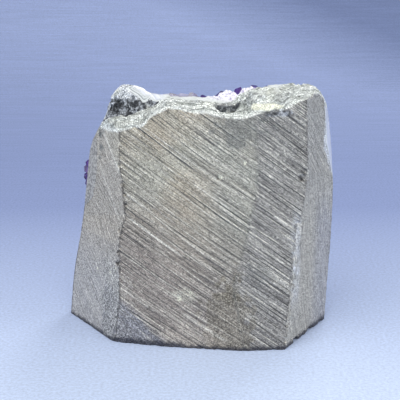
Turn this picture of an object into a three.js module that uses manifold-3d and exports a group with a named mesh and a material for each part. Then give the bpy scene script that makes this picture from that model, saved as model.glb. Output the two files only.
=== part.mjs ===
// Amethyst druzy: a piece of geode wall, sawn so that it stands on its base.
// From back to front it is basalt, a lining of banded agate, and a crust of amethyst crystals in the
// hollow of the polished front. The back and flanks are saw cuts; the top is broken, not cut.
// Millimetres, +Z up. The sawn back faces -Y and the crystals face +Y. The origin is the middle of the base.

import * as THREE from "three";
import { ConvexGeometry } from "three/addons/geometries/ConvexGeometry.js";
import { mergeVertices } from "three/addons/utils/BufferGeometryUtils.js";
import Module from "manifold-3d";

const wasm = await Module();
wasm.setup();

// ---- Driving dimensions ----

const FRONT_Y = 28; // the polished front, at the base
const FRONT_LEAN = 0.075; // how far the front leans back for each millimetre of height
const RIM_ROUND = 4.5; // rounding of the polished front edge
const BLOCK_BACK = 70; // the rough block reaches this far behind the front before the saw cuts
const BELOW_BASE = -12; // the rough block's outline runs on below the base cut
const FIT_GAP = 0.3; // clearance between pieces that grew together

const AGATE_THICKNESS = 4.5; // lining under the crystals
const CRUST_THICKNESS = 2.4; // quartz that the crystals stand on
const HOLLOW_DEPTH = 15; // front face to the deepest point between the crystals
const HOLLOW_LIP = 1.2; // upright edge of the hollow, before the crystals begin
const HOLLOW_CENTRE = { x: 0, z: 50 };
const BOWL = 2.3; // shape of the hollow: 2 is a round bowl, more is flatter in the middle

const SPACE = 400; // larger than the object, for the solids that cut it
const SKY = 140; // above everything
const UP = new THREE.Vector3(0, 0, 1);

// Outline of the block seen from behind, as x and z, from the left foot over the top to the right foot.
const BLOCK_OUTLINE = [
  [-57, BELOW_BASE],
  [-54.2, 17],
  [-49.8, 40],
  [-46.9, 60],
  [-44.6, 76],
  [-38.8, 87.5],
  [-35.2, 96.6],
  [-32, 100],
  [-28.5, 101],
  [-24, 100],
  [-18.4, 97.2],
  [-3, 97.6],
  [6, 97.4],
  [20, 99.4],
  [28, 101.2],
  [37, 101.8],
  [43, 101.4],
  [48, 98.4],
  [51.9, 91],
  [53.9, 76],
  [54.9, 45],
  [53.6, 10],
  [53, BELOW_BASE],
];

// Edge of the hollow, as x and z. At the top and at the left it lies past the block, whose edge is broken
// through the crust there.
const HOLLOW_EDGE = [
  [45, 50],
  [44.5, 70],
  [38, 85],
  [29, 97],
  [17, 112],
  [-2, 112],
  [-13, 103],
  [-20, 89],
  [-33, 82],
  [-43, 77],
  [-51, 67],
  [-50.5, 57],
  [-42.5, 45],
  [-44, 22],
  [-38, 11],
  [-18, 7.5],
  [6, 8.5],
  [32, 8],
  [42, 16],
  [45.5, 32],
];
// The lining by direction from the hollow's centre, in degrees from +X: how far it spreads past the hollow's
// edge, and how deep it reaches from the front at its own edge. It is broadest in the two top corners.
const AGATE_REACH = [
  [-180, 4],
  [-150, 8],
  [-115, 11],
  [-90, 13],
  [-65, 11],
  [-35, 8],
  [10, 9],
  [26, 14],
  [38, 19],
  [50, 8],
  [75, 8],
  [110, 8],
  [118, 15],
  [130, 17],
  [142, 10],
  [160, 4],
  [180, 4],
];
const AGATE_RIM = [
  [-180, 5],
  [-90, 6],
  [8, 6],
  [20, 11],
  [36, 13.5],
  [48, 4.5],
  [75, 4.5],
  [105, 6.5],
  [140, 6.5],
  [160, 5],
  [180, 5],
];

// Saw cuts. Azimuth is the way the cut face looks, in degrees about +Z from +X; lean is its tilt to the sky.
// Where a cut has a stop, the saw left the stone there and the face beyond it belongs to its neighbour.
const SAW_CUTS = [
  { name: "base", azimuth: 0, lean: -90, through: [0, 0, 0] },
  { name: "main back", azimuth: -97.5, lean: 7, through: [-33.7, -12.65, 0] },
  { name: "right back", azimuth: -85.7, lean: 6.4, through: [17.1, -19.3, 0] },
  { name: "right flank", azimuth: -30.8, lean: -2.1, through: [33.7, -18.1, 0] },
  { name: "upper right flank", azimuth: -29, lean: 4.6, through: [41, -6.3, 99.5] },
  { name: "right rim bevel", azimuth: -14, lean: 6.8, through: [51.3, 8.8, 78.7] },
  { name: "left flank", azimuth: -146.3, lean: 4.7, through: [-56.1, 21.1, 0] },
  { name: "left corner", azimuth: -139.9, lean: 5, through: [-31.7, -2.5, 83.75] },
  { name: "left back foot", azimuth: -103.5, lean: 0.5, through: [-32.8, -10.5, 18.7] },
  {
    name: "right back edge",
    azimuth: -57,
    lean: 3.2,
    through: [37.4, -12.6, 45.5],
    stop: { azimuth: -60, lean: -62, through: [38, -11, 50.5] },
  },
  {
    name: "upper left flank",
    azimuth: -142.5,
    lean: 0,
    through: [-31.8, -3.8, 73.2],
    stop: { azimuth: -146.3, lean: 15, through: [-29.6, -6.7, 52.7] },
  },
];

// Broken top: its height along x at the sawn back edge, and further in on the broken ledge.
const TOP_AT_BACK_EDGE = [
  [-60, 80],
  [-41, 82.5],
  [-31.5, 83.8],
  [-21.5, 87.4],
  [-18.2, 92],
  [-15.5, 95.2],
  [-6.6, 94.2],
  [4, 93.2],
  [13, 91.6],
  [18.4, 92.3],
  [25, 94.8],
  [31, 94.6],
  [35, 97],
  [41, 99.5],
  [60, 101],
];
const TOP_ON_LEDGE = [
  [-60, 84],
  [-40, 88.5],
  [-31, 90],
  [-21, 92.5],
  [-15, 96.6],
  [-4, 97.2],
  [2, 96.4],
  [8, 95.4],
  [14, 95.6],
  [20, 98.6],
  [28, 100.6],
  [40, 101.4],
  [48, 100.4],
  [60, 99],
];
const BACK_EDGE_Y = -7; // where the first row of heights lies
const LEDGE_Y = 5; // where the second row lies
// The top left corner stands up behind the ledge as a lump. Its near wall is steep, and behind the wall's
// top edge the banded layers slope on up to the crest.
const LUMP_WALL_TOP = [
  [-60, 97],
  [-35, 98.2],
  [-32, 98.2],
  [-28, 96.2],
  [-21, 94.2],
  [-15, 94.6],
  [60, 94.6],
];
const LUMP = { rightX: -16, wallY: 8.5, slope: 0.55 };
const TOP_ROUGHNESS = 0.8;

// Hollows knocked out of the broken top.
const SCOOPS = [
  { name: "dark pit", at: [10.4, -1.4, 95.4], radii: [5.6, 3.8, 3.6], turn: 12 },
  { name: "right scallop", at: [25.5, -8.4, 97.2], radii: [7.5, 3.2, 2.8], turn: 6 },
  { name: "middle scallop", at: [-4, 4, 101.2], radii: [11, 6, 5.2], turn: -4 },
  { name: "right hollow", at: [32, 5, 105.2], radii: [11, 6, 5.2], turn: 8 },
  { name: "lump hollow", at: [-31, 2.4, 96.4], radii: [8, 7.8, 6], turn: -8 },
  { name: "crust break", at: [15.5, 15.5, 101.2], radii: [12.5, 7, 6], turn: 4 },
];

// Crystals are grown in three rounds, the large ones first. Spread is how much their radii differ.
const CRYSTAL_SEED = 14;
const CRYSTAL_ROUNDS = [
  { radius: 8.4, tries: 150, spread: 0.15 },
  { radius: 6.2, tries: 400, spread: 0.17 },
  { radius: 4.9, tries: 240, spread: 0.15 },
];
const CRYSTAL_SPACING = 0.76; // of the sum of two neighbours' radii
const CRYSTAL_AT_RIM = 0.4; // size at the hollow's edge, as a share of the size in its middle
const CRYSTAL_FREE_EDGE = 0.95; // share of the way to the hollow's edge that crystals reach
const CRYSTAL_TILT = 0.42; // most sideways lean, as a share of the upright
const CRYSTAL_RISE = 0.12; // height of the shoulder over the wall, as a share of the radius
const CRYSTAL_ROOT = 3.2; // how far the foot of the smallest crystal is buried
const TIP_SLOPE = Math.tan(THREE.MathUtils.degToRad(50)); // of the faces that meet in the point
// Highest tips along the broken top edge, by x, and the furthest ones at the broken left edge.
const TIPS_TOP = [
  [-60, 70],
  [-26, 88],
  [-14, 95.5],
  [-6, 97],
  [3, 96.4],
  [9, 98.6],
  [14, 98],
  [19, 99.8],
  [25, 100],
  [34, 96],
  [60, 80],
];
const TIPS_LEFT = -49.2;
// Crystals that stand up at the broken top edge, where the crust is seen end on.
const EDGE_CRYSTALS = [
  { foot: [-6, 16.6, 94.6], radius: 1.8, axis: [0.2, 0.5, 0.8] },
  { foot: [3.4, 15.6, 93.6], radius: 2.2, axis: [-0.3, 0.6, 0.7] },
  { foot: [8.2, 14.6, 94.6], radius: 2.3, axis: [-0.2, 0.3, 0.9] },
  { foot: [11.8, 13.4, 95], radius: 2.6, axis: [0.1, 0.1, 1] },
  { foot: [15.4, 15.2, 95.4], radius: 2.2, axis: [0.4, 0.5, 0.7] },
  { foot: [17.8, 13.4, 96.6], radius: 2.4, axis: [-0.2, 0.2, 0.9] },
  { foot: [21, 14.8, 97.2], radius: 2.5, axis: [0.1, 0.4, 0.9] },
  { foot: [24.4, 15.2, 97.8], radius: 2.1, axis: [0.3, 0.3, 0.8] },
];

// ---- Joining and cutting ----

function solidOf(geometry) {
  const bare = geometry.clone();
  bare.deleteAttribute("normal");
  bare.deleteAttribute("uv");
  const merged = mergeVertices(bare, 1e-4);
  const mesh = new wasm.Mesh({
    numProp: 3,
    vertProperties: new Float32Array(merged.attributes.position.array),
    triVerts: new Uint32Array(merged.index.array),
  });
  return new wasm.Manifold(mesh);
}

function meshOf(name, solid, material) {
  const { vertProperties, triVerts, numProp } = solid.getMesh();
  const geometry = new THREE.BufferGeometry();
  const vertices = new THREE.InterleavedBuffer(vertProperties, numProp);
  geometry.setAttribute("position", new THREE.InterleavedBufferAttribute(vertices, 3, 0));
  geometry.setIndex(new THREE.BufferAttribute(triVerts, 1));
  const flat = geometry.toNonIndexed();
  flat.computeVertexNormals();
  const mesh = new THREE.Mesh(flat, material);
  mesh.name = name;
  return mesh;
}

// Everything on the outer side of a saw cut.
function beyond({ azimuth, lean, through }) {
  const across = Math.cos(THREE.MathUtils.degToRad(lean));
  const outward = new THREE.Vector3(
    across * Math.cos(THREE.MathUtils.degToRad(azimuth)),
    across * Math.sin(THREE.MathUtils.degToRad(azimuth)),
    Math.sin(THREE.MathUtils.degToRad(lean)),
  );
  const box = new THREE.BoxGeometry(SPACE, SPACE, SPACE).translate(0, 0, SPACE / 2);
  box.applyQuaternion(new THREE.Quaternion().setFromUnitVectors(UP, outward));
  return solidOf(box.translate(...through));
}

// Moves every vertex of a geometry by a function of its place. Equal places move alike.
function reshape(geometry, move) {
  const position = geometry.attributes.position;
  const point = new THREE.Vector3();
  for (let i = 0; i < position.count; i++) {
    move(point.fromBufferAttribute(position, i));
    position.setXYZ(i, point.x, point.y, point.z);
  }
  return geometry;
}

// Height or size at x on a profile given as points.
function valueAlong(profile, x) {
  const next = Math.max(1, profile.findIndex(([px]) => px >= x));
  const [[x0, z0], [x1, z1]] = [profile[next - 1], profile[next]];
  return THREE.MathUtils.mapLinear(x, x0, x1, z0, z1);
}

// A number from 0 to 1 that is always the same for the same place.
function speckle(x, y, z = 0) {
  const mixed = Math.sin(x * 12.9898 + y * 78.233 + z * 37.719) * 43758.5453;
  return mixed - Math.floor(mixed);
}

function randomFrom(seed) {
  let state = seed;
  return () => {
    state = (state + 0x6d2b79f5) | 0;
    let mixed = Math.imul(state ^ (state >>> 15), 1 | state);
    mixed = (mixed + Math.imul(mixed ^ (mixed >>> 7), 61 | mixed)) ^ mixed;
    return ((mixed ^ (mixed >>> 14)) >>> 0) / 4294967296;
  };
}

// ---- The block and its broken top ----

const frontAt = (z) => FRONT_Y - FRONT_LEAN * z;

function roughBlock() {
  const [first, ...rest] = BLOCK_OUTLINE.map(([x, z]) => new THREE.Vector2(x, z));
  const outline = new THREE.Shape().moveTo(first.x, first.y).splineThru(rest);
  const block = new THREE.ExtrudeGeometry(outline, {
    depth: BLOCK_BACK,
    curveSegments: 3,
    bevelSegments: 3,
    bevelThickness: RIM_ROUND,
    bevelSize: RIM_ROUND,
    bevelOffset: -RIM_ROUND,
  });
  block.rotateX(Math.PI / 2).translate(0, FRONT_Y - RIM_ROUND, 0);
  return solidOf(reshape(block, (p) => (p.y -= FRONT_LEAN * p.z)));
}

// Everything above the broken top.
function aboveBrokenTop() {
  const cutter = new THREE.BoxGeometry(135, 84, 1, 27, 24, 1).translate(0, -2, 0); // a cell is 5 by 3.5
  return solidOf(
    reshape(cutter, (p) => {
      if (p.z > 0) {
        p.z = SKY;
        return;
      }
      const inward = THREE.MathUtils.smoothstep(p.y, BACK_EDGE_Y, LEDGE_Y);
      const broken = THREE.MathUtils.lerp(
        valueAlong(TOP_AT_BACK_EDGE, p.x),
        valueAlong(TOP_ON_LEDGE, p.x),
        inward,
      );
      const rough = THREE.MathUtils.lerp(-1, 1, speckle(p.x, p.y)) * TOP_ROUGHNESS;
      const onLump = p.x < LUMP.rightX && p.y > LUMP.wallY;
      const layers = valueAlong(LUMP_WALL_TOP, p.x) + LUMP.slope * (p.y - LUMP.wallY);
      p.z = (onLump ? layers : broken) + rough * (onLump ? 1 : THREE.MathUtils.lerp(0.35, 1, inward));
    }),
  );
}

function scoop({ at, radii, turn }) {
  const flake = new THREE.IcosahedronGeometry(1, 1);
  reshape(flake, (p) => p.multiplyScalar(0.92 + 0.16 * speckle(p.x, p.y, p.z)));
  flake.scale(...radii).rotateZ(THREE.MathUtils.degToRad(turn));
  return solidOf(flake.translate(...at));
}

function sawnBlock() {
  return SAW_CUTS.reduce((stone, cut) => {
    const sawn = cut.stop ? beyond(cut).intersect(beyond(cut.stop)) : beyond(cut);
    return stone.subtract(sawn);
  }, roughBlock());
}

// ---- The hollow ----

const hollowCurve = new THREE.CatmullRomCurve3(
  HOLLOW_EDGE.map(([x, z]) => new THREE.Vector3(x - HOLLOW_CENTRE.x, z - HOLLOW_CENTRE.z, 0)),
  true,
  "centripetal",
);
const HOLLOW_RADII = hollowCurve
  .getPoints(240)
  .map((p) => [Math.atan2(p.y, p.x), Math.hypot(p.x, p.y)])
  .sort((a, b) => a[0] - b[0]);

// Distance from the hollow's centre to its edge, in a direction in the front plane.
function hollowRadius(angle) {
  const next = HOLLOW_RADII.findIndex(([a]) => a >= angle);
  if (next <= 0) return HOLLOW_RADII[0][1];
  const [[a0, r0], [a1, r1]] = [HOLLOW_RADII[next - 1], HOLLOW_RADII[next]];
  return THREE.MathUtils.mapLinear(angle, a0, a1, r0, r1);
}

// Low swells of the cavity wall.
const swell = (x, z) => 1.5 * Math.sin(x / 8 + 0.7) * Math.cos(z / 9) + 0.7 * Math.sin(x / 4.4 - z / 5.2);

// Depth of the cavity wall behind the front face, from the hollow's edge (share 1) to its middle (share 0).
function wallDepth(share, rim, floor, x, z) {
  const bowl = 1 - Math.min(share, 1) ** BOWL;
  return THREE.MathUtils.lerp(rim, floor, bowl) + swell(x, z) * bowl;
}

// Solid that fills the hollow out to the open air in front, down to a wall of the given depth.
function hollowFilling({ reach, rim, floor }) {
  const rings = [0, 0.32, 0.58, 0.78, 0.92, 1];
  const profile = rings.map((share) => new THREE.Vector2(share, -1));
  profile.push(new THREE.Vector2(1, 1), new THREE.Vector2(0, 1));
  const turned = new THREE.LatheGeometry(profile, 30);
  return solidOf(
    reshape(turned, (p) => {
      const share = Math.hypot(p.x, p.z);
      const angle = Math.atan2(p.z, p.x);
      const radius = share * (hollowRadius(angle) + reach(angle));
      const inFront = p.y > 0;
      p.x = HOLLOW_CENTRE.x + radius * Math.cos(angle);
      p.z = HOLLOW_CENTRE.z + radius * Math.sin(angle);
      const wall = frontAt(p.z) - wallDepth(share, rim(angle), floor, p.x, p.z);
      p.y = inFront ? 2 * FRONT_Y : wall;
    }),
  );
}

const byDirection = (profile, less) => (angle) =>
  valueAlong(profile, THREE.MathUtils.radToDeg(angle)) - less;

// The hollow with walls this thick, and the same less a clearance.
const liningRoom = (floor, less = 0) =>
  hollowFilling({
    reach: byDirection(AGATE_REACH, less),
    rim: byDirection(AGATE_RIM, less),
    floor: floor - less,
  });
const crustRoom = (floor, less = 0) =>
  hollowFilling({
    reach: () => -less,
    rim: () => HOLLOW_LIP + (floor - HOLLOW_DEPTH) / 2 - less,
    floor: floor - less,
  });

// ---- Crystals ----

const between = (low, high, random) => THREE.MathUtils.lerp(low, high, random());

// A quartz crystal: six prism faces, and a point of three large and three small faces, each a little uneven.
// It stands on +Z with its shoulder at z = 0.
function crystalForm(radius, random) {
  const root = CRYSTAL_ROOT + 0.4 * radius;
  const planes = [{ normal: new THREE.Vector3(0, 0, -1), distance: root }];
  const shoulder = radius * TIP_SLOPE;
  const smallFaces = between(1.02, 1.22, random);
  for (let side = 0; side < 6; side++) {
    const angle = (side * Math.PI) / 3;
    const outward = new THREE.Vector3(Math.cos(angle), Math.sin(angle), 0);
    planes.push({ normal: outward, distance: radius * between(0.86, 1, random) });
    const slanted = outward.clone().multiplyScalar(TIP_SLOPE).setZ(1).normalize();
    const height = shoulder * (side % 2 ? smallFaces : 1) * between(0.94, 1.06, random);
    planes.push({ normal: slanted, distance: height * slanted.z });
  }
  return new ConvexGeometry(cornersOf(planes));
}

// Corners of the convex solid that the planes enclose.
function cornersOf(planes) {
  const corners = [];
  const system = new THREE.Matrix3();
  const enclosed = (point) => planes.every(({ normal, distance }) => normal.dot(point) < distance + 1e-6);
  planes.forEach((a, i) =>
    planes.slice(i + 1).forEach((b, j) =>
      planes.slice(i + j + 2).forEach((c) => {
        system.set(...a.normal, ...b.normal, ...c.normal);
        if (Math.abs(system.determinant()) < 1e-6) return;
        const corner = new THREE.Vector3(a.distance, b.distance, c.distance);
        corner.applyMatrix3(system.invert());
        if (enclosed(corner)) corners.push(corner);
      }),
    ),
  );
  return corners;
}

// Places on the cavity wall for the crystals' feet, none too close to another.
function crystalSites(random) {
  const sites = [];
  for (const { radius, tries, spread } of CRYSTAL_ROUNDS) {
    for (let i = 0; i < tries; i++) {
      const angle = between(-Math.PI, Math.PI, random);
      const share = CRYSTAL_FREE_EDGE * Math.sqrt(random());
      const atRim = THREE.MathUtils.lerp(1, CRYSTAL_AT_RIM, share ** 4);
      const size = radius * between(1 - spread, 1 + spread, random) * atRim;
      const reach = share * hollowRadius(angle);
      const x = HOLLOW_CENTRE.x + reach * Math.cos(angle);
      const z = HOLLOW_CENTRE.z + reach * Math.sin(angle);
      const clear = sites.every((s) => Math.hypot(s.x - x, s.z - z) > CRYSTAL_SPACING * (s.size + size));
      if (clear) sites.push({ x, z, share, angle, size });
    }
  }
  return sites;
}

const wallPoint = (x, z, share) =>
  new THREE.Vector3(x, frontAt(z) - wallDepth(share, HOLLOW_LIP, HOLLOW_DEPTH, x, z), z);

// The way the cavity wall faces at a site.
function wallFacing({ x, z, share, angle }) {
  const step = 0.02;
  const run = step * hollowRadius(angle);
  const outward = [Math.cos(angle), Math.sin(angle)];
  const further = wallPoint(x + run * outward[0], z + run * outward[1], share + step);
  const slope = (further.y - wallPoint(x, z, share).y) / run;
  return new THREE.Vector3(-slope * outward[0], 1, -slope * outward[1]).normalize();
}

function standing(form, foot, axis) {
  const upright = new THREE.Quaternion().setFromUnitVectors(UP, axis.normalize());
  return form.applyQuaternion(upright).translate(foot.x, foot.y, foot.z);
}

function edgeCrystals(random) {
  return EDGE_CRYSTALS.map(({ foot, radius, axis }) => {
    const form = crystalForm(radius, random);
    return solidOf(standing(form, new THREE.Vector3(...foot), new THREE.Vector3(...axis)));
  });
}

// The crystals that cover the wall, without those that would stand past the broken edges.
function wallCrystals(random) {
  const grown = [];
  for (const site of crystalSites(random)) {
    const axis = wallFacing(site);
    axis.x += between(-CRYSTAL_TILT, CRYSTAL_TILT, random);
    axis.z += between(-CRYSTAL_TILT, CRYSTAL_TILT, random);
    const foot = wallPoint(site.x, site.z, site.share).addScaledVector(axis, CRYSTAL_RISE * site.size);
    const form = crystalForm(site.size, random).rotateZ(between(0, Math.PI, random));
    standing(form, foot, axis).computeBoundingBox();
    const { min, max } = form.boundingBox;
    const whole = max.z < valueAlong(TIPS_TOP, foot.x) && min.x > TIPS_LEFT;
    if (whole) grown.push(solidOf(form));
  }
  return grown;
}

// Cuts leave crumbs: this is the stone without them.
function largestOf(solid) {
  return solid.decompose().reduce((best, piece) => (piece.volume() > best.volume() ? piece : best));
}

// ---- The three pieces ----

const brokenAway = SCOOPS.reduce((all, hollow) => all.add(scoop(hollow)), aboveBrokenTop());
const block = sawnBlock().subtract(brokenAway);

const crustFloor = HOLLOW_DEPTH + CRUST_THICKNESS;
const agateFloor = crustFloor + AGATE_THICKNESS;

const basalt = block.subtract(liningRoom(agateFloor));
const agate = block.intersect(liningRoom(agateFloor, FIT_GAP)).subtract(crustRoom(crustFloor));

const frontAir = beyond({
  azimuth: 90,
  lean: THREE.MathUtils.radToDeg(Math.atan(FRONT_LEAN)),
  through: [0, FRONT_Y - FIT_GAP, 0],
});
const random = randomFrom(CRYSTAL_SEED);
const crystals = [...edgeCrystals(random), ...wallCrystals(random)];
const druse = crystals.reduce((all, crystal) => all.add(crystal), block.subtract(crustRoom(HOLLOW_DEPTH)));
const crust = druse.intersect(crustRoom(crustFloor, FIT_GAP)).subtract(frontAir);

const druzy = new THREE.Group();
druzy.add(
  meshOf(
    "basalt_matrix",
    largestOf(basalt),
    new THREE.MeshStandardMaterial({ color: 0x8f8c86, roughness: 0.9, metalness: 0 }),
  ),
  meshOf(
    "agate_lining",
    largestOf(agate),
    new THREE.MeshStandardMaterial({ color: 0xdfe3e8, roughness: 0.15, metalness: 0 }),
  ),
  meshOf(
    "amethyst_crust",
    largestOf(crust),
    new THREE.MeshStandardMaterial({ color: 0x6b3fa0, roughness: 0.08, metalness: 0 }),
  ),
);

const bounds = new THREE.Box3().setFromObject(druzy);
const middle = bounds.getCenter(new THREE.Vector3());
druzy.position.set(-middle.x, -middle.y, -bounds.min.z);

export default druzy;
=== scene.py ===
import math

import bmesh
import bpy
import numpy as np
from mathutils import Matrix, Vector
from mathutils.bvhtree import BVHTree
from mathutils.kdtree import KDTree


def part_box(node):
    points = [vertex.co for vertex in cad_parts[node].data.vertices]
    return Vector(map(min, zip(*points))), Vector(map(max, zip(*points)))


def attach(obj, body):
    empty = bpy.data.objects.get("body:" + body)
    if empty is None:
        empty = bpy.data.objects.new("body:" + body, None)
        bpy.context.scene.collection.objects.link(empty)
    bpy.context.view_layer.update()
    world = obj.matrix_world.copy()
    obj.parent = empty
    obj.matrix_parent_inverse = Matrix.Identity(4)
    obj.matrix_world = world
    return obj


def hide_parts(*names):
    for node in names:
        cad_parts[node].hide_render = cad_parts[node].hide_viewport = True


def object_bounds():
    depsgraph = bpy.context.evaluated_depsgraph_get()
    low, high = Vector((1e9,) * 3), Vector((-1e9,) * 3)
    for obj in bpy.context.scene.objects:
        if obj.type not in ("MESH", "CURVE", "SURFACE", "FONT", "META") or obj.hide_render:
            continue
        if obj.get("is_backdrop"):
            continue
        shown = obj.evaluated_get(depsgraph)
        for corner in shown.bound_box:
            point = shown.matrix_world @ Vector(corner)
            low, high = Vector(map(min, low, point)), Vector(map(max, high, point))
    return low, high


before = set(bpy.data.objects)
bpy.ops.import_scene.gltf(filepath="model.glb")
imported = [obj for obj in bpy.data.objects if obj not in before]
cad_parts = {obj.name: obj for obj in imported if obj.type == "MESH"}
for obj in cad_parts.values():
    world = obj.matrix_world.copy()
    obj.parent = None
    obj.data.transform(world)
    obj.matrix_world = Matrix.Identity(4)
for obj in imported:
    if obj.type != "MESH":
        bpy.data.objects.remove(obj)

# Amethyst druzy with a sawn base, dressed around its three solids: basalt, agate lining, crystal crust.
# Meshes are worked on in millimetres in the frame's own axes, and written back in metres.

mm = 0.001
cadLow, cadHigh = (np.array(corner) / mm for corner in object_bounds())

view = {
    "aim": (0.0005, -0.0043, 0.057),  # the point looked at
    "elevation": 16,  # degrees above level
    "distance": 0.43,
    "lens": 96.75,
}

camera = bpy.data.objects.new("camera", bpy.data.cameras.new("camera"))
bpy.context.scene.collection.objects.link(camera)
bpy.context.scene.camera = camera
camera.data.lens = view["lens"]
camera.data.clip_start = 0.02
elevation = math.radians(view["elevation"])
backward = Vector((0, -math.cos(elevation), math.sin(elevation)))
camera.location = Vector(view["aim"]) + backward * view["distance"]
camera.rotation_euler = (-backward).to_track_quat("-Z", "Y").to_euler()


# helpers for numbers


def suited(value):
    return value


lattice = np.random.default_rng(11).uniform(-1, 1, (64, 64, 64))


def softNoise(places, size, seed):  # smooth lumps of about this size, from -1 to 1
    cells = places / np.array(size) + 17.3 * seed
    low = np.floor(cells).astype(int)
    part = cells - low
    part = part * part * (3 - 2 * part)
    total = np.zeros(len(places))
    for corner in np.ndindex(2, 2, 2):
        share = np.prod(np.where(corner, part, 1 - part), axis=1)
        x, y, z = ((low + corner) & 63).T
        total += share * lattice[x, y, z]
    return total


def ridges(places, size, seed):  # the same with sharp crests
    return 1 - 2 * np.abs(softNoise(places, size, seed))


def ramp(low, high, value):  # 0 at low, 1 at high, smooth between
    t = np.clip((value - low) / (high - low), 0, 1)
    return t * t * (3 - 2 * t)


def region(places, spans):  # 1 where each span along x, y or z is full, 0 before any of them starts
    return np.prod([ramp(start, full, places[:, "xyz".index(way)]) for way, start, full in spans], axis=0)


def tone(red, green, blue):  # a colour as a screen shows it, from 0 to 255, for a colour socket
    return *(((v / 255 + 0.055) / 1.055) ** 2.4 for v in (red, green, blue)), 1.0


def facing(azimuth, lean):
    a, l = math.radians(azimuth), math.radians(lean)
    return np.array([math.cos(l) * math.cos(a), math.cos(l) * math.sin(a), math.sin(l)])


def unit(rows):
    return rows / np.maximum(np.linalg.norm(rows, axis=-1, keepdims=True), 1e-9)


# helpers for meshes


def placesOf(mesh):  # vertices in millimetres
    places = np.empty(len(mesh.vertices) * 3, np.float32)
    mesh.vertices.foreach_get("co", places)
    return places.reshape(-1, 3).astype(float) / mm


def setPlaces(mesh, places):
    mesh.vertices.foreach_set("co", (places * mm).astype(np.float32).ravel())
    mesh.update()


def baked(piece):  # applies the piece's modifiers
    depsgraph = bpy.context.evaluated_depsgraph_get()
    mesh = bpy.data.meshes.new_from_object(piece.evaluated_get(depsgraph))
    old = piece.data
    piece.modifiers.clear()
    piece.data = mesh
    bpy.data.meshes.remove(old)
    return mesh


def newPiece(name, mesh):
    piece = bpy.data.objects.new(name, mesh)
    bpy.context.scene.collection.objects.link(piece)
    return piece


def welded(nodeName):  # a copy of a solid with its corners joined
    solid = bmesh.new()
    solid.from_mesh(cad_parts[nodeName].data)
    bmesh.ops.remove_doubles(solid, verts=solid.verts, dist=0.002 * mm)
    mesh = bpy.data.meshes.new(nodeName + "Copy")
    solid.to_mesh(mesh)
    solid.free()
    return mesh


def finePiece(name, nodeName, voxel):  # the same solid in small even faces, ready to be carved
    piece = newPiece(name, welded(nodeName))
    remesh = piece.modifiers.new("even faces", "REMESH")
    remesh.mode = "VOXEL"
    remesh.voxel_size = suited(voxel) * mm
    wrap = piece.modifiers.new("back onto the solid", "SHRINKWRAP")
    wrap.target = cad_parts[nodeName]
    wrap.wrap_method = "NEAREST_SURFACEPOINT"
    baked(piece)
    return piece


def triangleCount(mesh):
    return sum(len(face.vertices) - 2 for face in mesh.polygons)


def thinned(piece, triangles):  # keeps the form with fewer faces
    fewer = piece.modifiers.new("fewer faces", "DECIMATE")
    fewer.ratio = min(1, suited(triangles) / triangleCount(piece.data))
    return baked(piece)


def evened(mesh, rows, share, rounds):  # lets each vertex's row drift to the middle of its neighbours' rows
    ends = np.empty(len(mesh.edges) * 2, np.int32)
    mesh.edges.foreach_get("vertices", ends)
    a, b = ends.reshape(-1, 2).T

    def gathered(values):
        return np.bincount(a, values[b], len(rows)) + np.bincount(b, values[a], len(rows))

    near = np.maximum(gathered(np.ones(len(rows))), 1)[:, None]
    share = np.broadcast_to(share, len(rows))[:, None]
    for _ in range(rounds):
        total = np.stack([gathered(column) for column in rows.T], axis=1)
        rows = rows + share * (total / near - rows)
    return rows


def paint(mesh, name, *values, domain="POINT"):  # an attribute for the materials to read
    rows = np.stack(values, axis=-1)
    kind, field = ("FLOAT", "value") if len(values) == 1 else ("FLOAT_VECTOR", "vector")
    layer = mesh.attributes.new(name, kind, domain)
    layer.data.foreach_set(field, rows.astype(np.float32).ravel())


def seeker(points):  # finds the nearest of some points
    tree = KDTree(len(points))
    for i, point in enumerate(points):
        tree.insert(point, i)
    tree.balance()
    return tree


def nearestPoint(tree, places):  # for each place the nearest point's number and how far it is
    found = [tree.find(place) for place in places]
    return np.array([f[1] for f in found]), np.array([f[2] for f in found])


edgeStep = 0.3  # between the points put along an edge


class Solid:  # one of the frame's solids, to ask what lies nearest to a place
    def __init__(self, nodeName):
        mesh = welded(nodeName)
        self.places = placesOf(mesh)
        self.faces = [tuple(face.vertices) for face in mesh.polygons]
        self.normals = np.array([face.normal[:] for face in mesh.polygons])
        self.centres = np.array([self.places[list(face)].mean(0) for face in self.faces])
        self.areas = np.array([face.area for face in mesh.polygons])
        self.tree = BVHTree.FromPolygons([tuple(place) for place in self.places], self.faces)

    def nearest(self, places):  # nearest points, the faces they are on, and how far they are
        found = [self.tree.find_nearest(place) for place in places]
        points, _, faces, far = zip(*found)
        return np.array(points), np.array(faces), np.array(far)

    def edges(self, flattest, wanted):  # points along the outward edges, and the way each edge faces
        sides = {}
        for i, face in enumerate(self.faces):
            for a, b in zip(face, face[1:] + face[:1]):
                sides.setdefault((min(a, b), max(a, b)), []).append(i)
        points, ways = [], []
        for (a, b), pair in sides.items():
            i, j = pair[0], pair[-1]
            inward = self.normals[i] @ (self.centres[j] - self.centres[i]) > 0
            if inward or self.normals[i] @ self.normals[j] > flattest or not wanted(i, j):
                continue
            start, reach = self.places[a], self.places[b] - self.places[a]
            steps = max(2, int(np.linalg.norm(reach) / edgeStep))
            points.extend(start + reach * k / steps for k in range(steps + 1))
            ways.extend([self.normals[i] + self.normals[j]] * (steps + 1))
        return seeker(points), unit(np.array(ways))


# helpers for materials


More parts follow.
